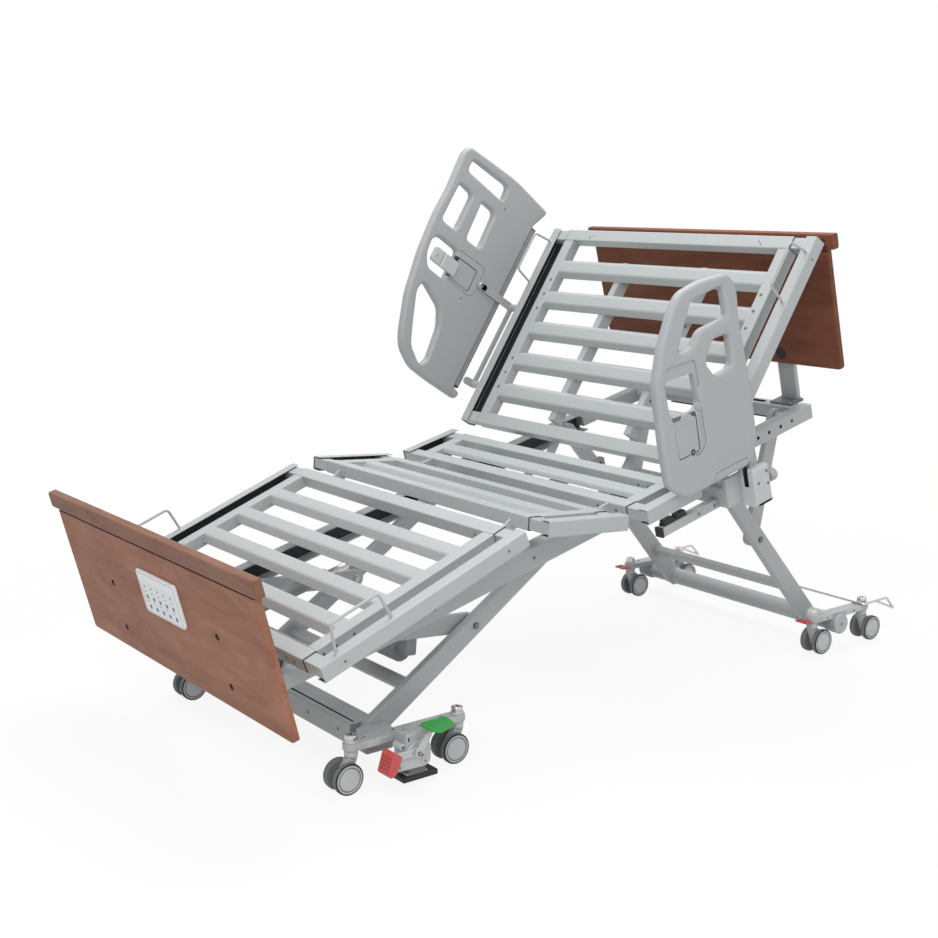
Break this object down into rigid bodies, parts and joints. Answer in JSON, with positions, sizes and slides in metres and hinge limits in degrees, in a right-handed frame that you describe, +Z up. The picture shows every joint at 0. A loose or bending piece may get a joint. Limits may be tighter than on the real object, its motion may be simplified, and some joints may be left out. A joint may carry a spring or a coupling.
{
  "type": "hospital bed",
  "caption": "adjustable hospital bed with four-section slatted deck, sliding width wings, twin lift linkages, assist rails, wooden end boards and swivel casters",
  "frame": {"origin": "middle of the bed's footprint on the floor", "axes": "+Y towards the head end, +X towards the patient's left, +Z up"},
  "size_m": [1.22, 2.3158, 1.4916],
  "materials": {
    "painted_steel": "satin light grey",
    "painted_steel_dark": "satin mid grey",
    "rail_plastic": "moulded blue-grey",
    "wood_laminate": "satin red-brown laminate",
    "black_plastic": "ribbed black",
    "tyre_grey": "grey-black tread",
    "red_plastic": "red",
    "green_plastic": "green",
    "pad_plastic": "pale grey membrane",
    "chrome_steel": "bright"
  },
  "bodies": {
    "frame_body": {"main_frame": "painted_steel", "headboard_panel": "wood_laminate", "footboard_panel": "wood_laminate", "board_keypad": "pad_plastic", "accessory_rail": "painted_steel", "near_rail_post": "rail_plastic", "back_actuator": "painted_steel_dark", "knee_actuator": "painted_steel_dark"},
    "seat_body": {"seat_frame": "painted_steel"},
    "backrest_body": {"backrest_frame": "painted_steel", "backrest_carrier": "painted_steel"},
    "thigh_body": {"thigh_frame": "painted_steel"},
    "foot_body": {"foot_frame": "painted_steel"},
    "backrest_wing_left_body": {"backrest_wing_left": "painted_steel"},
    "backrest_wing_right_body": {"backrest_wing_right": "painted_steel", "far_rail_mount": "painted_steel"},
    "seat_wing_left_body": {"seat_wing_left": "painted_steel"},
    "seat_wing_right_body": {"seat_wing_right": "painted_steel"},
    "thigh_wing_left_body": {"thigh_wing_left": "painted_steel"},
    "thigh_wing_right_body": {"thigh_wing_right": "painted_steel"},
    "foot_wing_left_body": {"foot_wing_left": "painted_steel"},
    "foot_wing_right_body": {"foot_wing_right": "painted_steel"},
    "near_rail_body": {"near_rail": "rail_plastic"},
    "near_latch_body": {"near_rail_latch": "rail_plastic"},
    "far_rail_body": {"far_rail": "rail_plastic", "far_rail_bar": "chrome_steel"},
    "far_latch_body": {"far_rail_latch": "rail_plastic"},
    "head_link_body": {"head_link_frame": "painted_steel"},
    "head_strut_body": {"head_strut_frame": "painted_steel"},
    "head_bogie_left_body": {"head_bogie_left": "painted_steel"},
    "head_bogie_right_body": {"head_bogie_right": "painted_steel"},
    "foot_link_body": {"foot_link_frame": "painted_steel", "foot_lift_motor": "painted_steel_dark"},
    "foot_strut_body": {"foot_strut_frame": "painted_steel"},
    "foot_base_body": {"foot_base": "painted_steel", "foot_lock_unit": "painted_steel"},
    "head_caster_left_a_fork_body": {"head_caster_left_a_fork": "painted_steel"},
    "head_caster_left_a_wheels_body": {"head_caster_left_a_wheels": "tyre_grey"},
    "head_caster_left_b_fork_body": {"head_caster_left_b_fork": "painted_steel"},
    "head_caster_left_b_wheels_body": {"head_caster_left_b_wheels": "tyre_grey"},
    "foot_caster_left_a_fork_body": {"foot_caster_left_a_fork": "painted_steel"},
    "foot_caster_left_a_wheels_body": {"foot_caster_left_a_wheels": "tyre_grey"},
    "foot_caster_left_b_fork_body": {"foot_caster_left_b_fork": "painted_steel"},
    "foot_caster_left_b_wheels_body": {"foot_caster_left_b_wheels": "tyre_grey"},
    "head_pedal_left_body": {"head_pedal_left": "red_plastic"},
    "head_caster_right_a_fork_body": {"head_caster_right_a_fork": "painted_steel"},
    "head_caster_right_a_wheels_body": {"head_caster_right_a_wheels": "tyre_grey"},
    "head_caster_right_b_fork_body": {"head_caster_right_b_fork": "painted_steel"},
    "head_caster_right_b_wheels_body": {"head_caster_right_b_wheels": "tyre_grey"},
    "foot_caster_right_a_fork_body": {"foot_caster_right_a_fork": "painted_steel"},
    "foot_caster_right_a_wheels_body": {"foot_caster_right_a_wheels": "tyre_grey"},
    "foot_caster_right_b_fork_body": {"foot_caster_right_b_fork": "painted_steel"},
    "foot_caster_right_b_wheels_body": {"foot_caster_right_b_wheels": "tyre_grey"},
    "head_pedal_right_body": {"head_pedal_right": "red_plastic"},
    "head_lock_bar_body": {"head_lock_bar": "chrome_steel"},
    "brake_pedal_body": {"brake_pedal": "red_plastic"},
    "steer_pedal_body": {"steer_pedal": "green_plastic"},
    "floor_pad_body": {"floor_pad": "black_plastic"},
    "back_rod_body": {"back_actuator_rod": "chrome_steel"},
    "knee_rod_body": {"knee_actuator_rod": "chrome_steel"}
  },
  "joints": [
    {"name": "deck_slide", "type": "slide", "parent": "frame_body", "child": "seat_body", "axis": [0, 0.969, 0.247], "range_m": [-0.0702, 0.033]},
    {"name": "backrest_hinge", "type": "hinge", "parent": "seat_body", "child": "backrest_body", "pos_m": [0.0115, 0.12985, 0.67941], "axis": [1, 0, 0], "range_deg": [-42.74, 20]},
    {"name": "thigh_hinge", "type": "hinge", "parent": "seat_body", "child": "thigh_body", "pos_m": [0.0115, -0.06548, 0.55016], "axis": [-1, 0, 0], "range_deg": [-18.76, 11.2]},
    {"name": "knee_hinge", "type": "hinge", "parent": "thigh_body", "child": "foot_body", "pos_m": [0.0115, -0.38358, 0.54179], "axis": [1, 0, 0], "range_deg": [-25.6, 15.3]},
    {"name": "backrest_wing_left_slide", "type": "slide", "parent": "backrest_body", "child": "backrest_wing_left_body", "axis": [1, 0, 0], "range_m": [-0.073, 0]},
    {"name": "backrest_wing_right_slide", "type": "slide", "parent": "backrest_body", "child": "backrest_wing_right_body", "axis": [-1, 0, 0], "range_m": [-0.073, 0]},
    {"name": "seat_wing_left_slide", "type": "slide", "parent": "seat_body", "child": "seat_wing_left_body", "axis": [1, 0, 0], "range_m": [-0.073, 0]},
    {"name": "seat_wing_right_slide", "type": "slide", "parent": "seat_body", "child": "seat_wing_right_body", "axis": [-1, 0, 0], "range_m": [-0.073, 0]},
    {"name": "thigh_wing_left_slide", "type": "slide", "parent": "thigh_body", "child": "thigh_wing_left_body", "axis": [1, 0, 0], "range_m": [-0.073, 0]},
    {"name": "thigh_wing_right_slide", "type": "slide", "parent": "thigh_body", "child": "thigh_wing_right_body", "axis": [-1, 0, 0], "range_m": [-0.073, 0]},
    {"name": "foot_wing_left_slide", "type": "slide", "parent": "foot_body", "child": "foot_wing_left_body", "axis": [1, 0, 0], "range_m": [-0.073, 0]},
    {"name": "foot_wing_right_slide", "type": "slide", "parent": "foot_body", "child": "foot_wing_right_body", "axis": [-1, 0, 0], "range_m": [-0.073, 0]},
    {"name": "near_rail_hinge", "type": "hinge", "parent": "frame_body", "child": "near_rail_body", "pos_m": [0.5815, 0.30759, 0.63029], "axis": [1, 0, 0], "range_deg": [0, 90]},
    {"name": "near_latch_slide", "type": "slide", "parent": "near_rail_body", "child": "near_latch_body", "axis": [0, -0.247, 0.969], "range_m": [0, 0.01], "stiffness_N_per_m": 300},
    {"name": "far_rail_hinge", "type": "hinge", "parent": "backrest_wing_right_body", "child": "far_rail_body", "pos_m": [-0.5885, 0.29599, 1.06526], "axis": [1, 0, 0], "range_deg": [0, 90]},
    {"name": "far_latch_slide", "type": "slide", "parent": "far_rail_body", "child": "far_latch_body", "axis": [0, -0.8391, 0.5441], "range_m": [0, 0.01], "stiffness_N_per_m": 300},
    {"name": "head_lift_hinge", "type": "hinge", "parent": "frame_body", "child": "head_link_body", "pos_m": [0.0115, 0.73656, 0.70971], "axis": [1, 0, 0], "range_deg": [-50.92, 4.08]},
    {"name": "head_strut_hinge", "type": "hinge", "parent": "head_link_body", "child": "head_strut_body", "pos_m": [0.0115, 0.65585, 0.35375], "axis": [1, 0, 0], "range_deg": [-8.2, 101.9]},
    {"name": "head_bogie_left_hinge", "type": "hinge", "parent": "head_strut_body", "child": "head_bogie_left_body", "pos_m": [0.4055, 0.89711, 0.07985], "axis": [1, 0, 0], "range_deg": [-50.97, 4.13]},
    {"name": "head_bogie_right_hinge", "type": "hinge", "parent": "head_strut_body", "child": "head_bogie_right_body", "pos_m": [-0.3825, 0.89711, 0.07985], "axis": [1, 0, 0], "range_deg": [-50.97, 4.13]},
    {"name": "foot_lift_hinge", "type": "hinge", "parent": "frame_body", "child": "foot_link_body", "pos_m": [0.0115, -0.76179, 0.31953], "axis": [-1, 0, 0], "range_deg": [-6.94, 45.06]},
    {"name": "foot_strut_hinge", "type": "hinge", "parent": "foot_link_body", "child": "foot_strut_body", "pos_m": [0.0115, -0.39799, 0.28997], "axis": [-1, 0, 0], "range_deg": [-90.16, 13.94]},
    {"name": "foot_base_hinge", "type": "hinge", "parent": "foot_strut_body", "child": "foot_base_body", "pos_m": [0.0115, -0.70325, 0.08987], "axis": [-1, 0, 0], "range_deg": [-6.99, 45.11]},
    {"name": "head_caster_left_a_swivel", "type": "hinge", "parent": "head_bogie_left_body", "child": "head_caster_left_a_fork_body", "pos_m": [0.4015, 0.797, 0.06], "axis": [0, 0, 1], "continuous": true},
    {"name": "head_caster_left_a_roll", "type": "hinge", "parent": "head_caster_left_a_fork_body", "child": "head_caster_left_a_wheels_body", "pos_m": [0.4015, 0.819, 0.038], "axis": [1, 0, 0], "continuous": true},
    {"name": "head_caster_left_b_swivel", "type": "hinge", "parent": "head_bogie_left_body", "child": "head_caster_left_b_fork_body", "pos_m": [0.4015, 1.029, 0.06], "axis": [0, 0, 1], "continuous": true},
    {"name": "head_caster_left_b_roll", "type": "hinge", "parent": "head_caster_left_b_fork_body", "child": "head_caster_left_b_wheels_body", "pos_m": [0.4015, 1.051, 0.038], "axis": [1, 0, 0], "continuous": true},
    {"name": "foot_caster_left_a_swivel", "type": "hinge", "parent": "foot_base_body", "child": "foot_caster_left_a_fork_body", "pos_m": [0.4015, -0.829, 0.06], "axis": [0, 0, 1], "continuous": true},
    {"name": "foot_caster_left_a_roll", "type": "hinge", "parent": "foot_caster_left_a_fork_body", "child": "foot_caster_left_a_wheels_body", "pos_m": [0.4015, -0.851, 0.038], "axis": [1, 0, 0], "continuous": true},
    {"name": "foot_caster_left_b_swivel", "type": "hinge", "parent": "foot_base_body", "child": "foot_caster_left_b_fork_body", "pos_m": [0.4015, -0.525, 0.06], "axis": [0, 0, 1], "continuous": true},
    {"name": "foot_caster_left_b_roll", "type": "hinge", "parent": "foot_caster_left_b_fork_body", "child": "foot_caster_left_b_wheels_body", "pos_m": [0.4015, -0.547, 0.038], "axis": [1, 0, 0], "continuous": true},
    {"name": "head_pedal_left_hinge", "type": "hinge", "parent": "head_bogie_left_body", "child": "head_pedal_left_body", "pos_m": [0.4015, 0.7732, 0.106], "axis": [1, 0, 0], "range_deg": [-4, 14]},
    {"name": "head_caster_right_a_swivel", "type": "hinge", "parent": "head_bogie_right_body", "child": "head_caster_right_a_fork_body", "pos_m": [-0.3785, 0.797, 0.06], "axis": [0, 0, 1], "continuous": true},
    {"name": "head_caster_right_a_roll", "type": "hinge", "parent": "head_caster_right_a_fork_body", "child": "head_caster_right_a_wheels_body", "pos_m": [-0.3785, 0.819, 0.038], "axis": [1, 0, 0], "continuous": true},
    {"name": "head_caster_right_b_swivel", "type": "hinge", "parent": "head_bogie_right_body", "child": "head_caster_right_b_fork_body", "pos_m": [-0.3785, 1.029, 0.06], "axis": [0, 0, 1], "continuous": true},
    {"name": "head_caster_right_b_roll", "type": "hinge", "parent": "head_caster_right_b_fork_body", "child": "head_caster_right_b_wheels_body", "pos_m": [-0.3785, 1.051, 0.038], "axis": [1, 0, 0], "continuous": true},
    {"name": "foot_caster_right_a_swivel", "type": "hinge", "parent": "foot_base_body", "child": "foot_caster_right_a_fork_body", "pos_m": [-0.3785, -0.829, 0.06], "axis": [0, 0, 1], "continuous": true},
    {"name": "foot_caster_right_a_roll", "type": "hinge", "parent": "foot_caster_right_a_fork_body", "child": "foot_caster_right_a_wheels_body", "pos_m": [-0.3785, -0.851, 0.038], "axis": [1, 0, 0], "continuous": true},
    {"name": "foot_caster_right_b_swivel", "type": "hinge", "parent": "foot_base_body", "child": "foot_caster_right_b_fork_body", "pos_m": [-0.3785, -0.525, 0.06], "axis": [0, 0, 1], "continuous": true},
    {"name": "foot_caster_right_b_roll", "type": "hinge", "parent": "foot_caster_right_b_fork_body", "child": "foot_caster_right_b_wheels_body", "pos_m": [-0.3785, -0.547, 0.038], "axis": [1, 0, 0], "continuous": true},
    {"name": "head_pedal_right_hinge", "type": "hinge", "parent": "head_bogie_right_body", "child": "head_pedal_right_body", "pos_m": [-0.3785, 0.7732, 0.106], "axis": [1, 0, 0], "range_deg": [-4, 14]},
    {"name": "head_lock_bar_hinge", "type": "hinge", "parent": "head_bogie_left_body", "child": "head_lock_bar_body", "pos_m": [0.4115, 1.007, 0.1201], "axis": [-1, 0, 0], "range_deg": [-10, 10]},
    {"name": "brake_pedal_hinge", "type": "hinge", "parent": "foot_base_body", "child": "brake_pedal_body", "pos_m": [0.4815, -0.701, 0.086], "axis": [1, 0, 0], "range_deg": [-8, 12]},
    {"name": "steer_pedal_hinge", "type": "hinge", "parent": "foot_base_body", "child": "steer_pedal_body", "pos_m": [0.4915, -0.701, 0.086], "axis": [1, 0, 0], "range_deg": [-8.1, 12.1]},
    {"name": "floor_pad_slide", "type": "slide", "parent": "foot_base_body", "child": "floor_pad_body", "axis": [0, 0, -1], "range_m": [0, 0.0115]},
    {"name": "back_rod_slide", "type": "slide", "parent": "frame_body", "child": "back_rod_body", "axis": [0, 0.969, 0.247], "range_m": [-0.0603, 0.0284]},
    {"name": "knee_rod_slide", "type": "slide", "parent": "frame_body", "child": "knee_rod_body", "axis": [0, 0.969, 0.247], "range_m": [-0.0395, 0.0237]}
  ],
  "couplings": [
    {"joint": "deck_slide", "follows": "backrest_hinge", "m_per_rad": 0.0938},
    {"joint": "knee_hinge", "follows": "thigh_hinge", "ratio": 1.3614},
    {"joint": "head_strut_hinge", "follows": "head_lift_hinge", "ratio": -2},
    {"joint": "head_bogie_left_hinge", "follows": "head_lift_hinge", "ratio": 1},
    {"joint": "head_bogie_right_hinge", "follows": "head_lift_hinge", "ratio": 1},
    {"joint": "foot_strut_hinge", "follows": "foot_lift_hinge", "ratio": -2},
    {"joint": "foot_base_hinge", "follows": "foot_lift_hinge", "ratio": 1},
    {"joint": "steer_pedal_hinge", "follows": "brake_pedal_hinge", "ratio": 1},
    {"joint": "back_rod_slide", "follows": "backrest_hinge", "m_per_rad": 0.0805},
    {"joint": "knee_rod_slide", "follows": "thigh_hinge", "m_per_rad": 0.12}
  ]
}
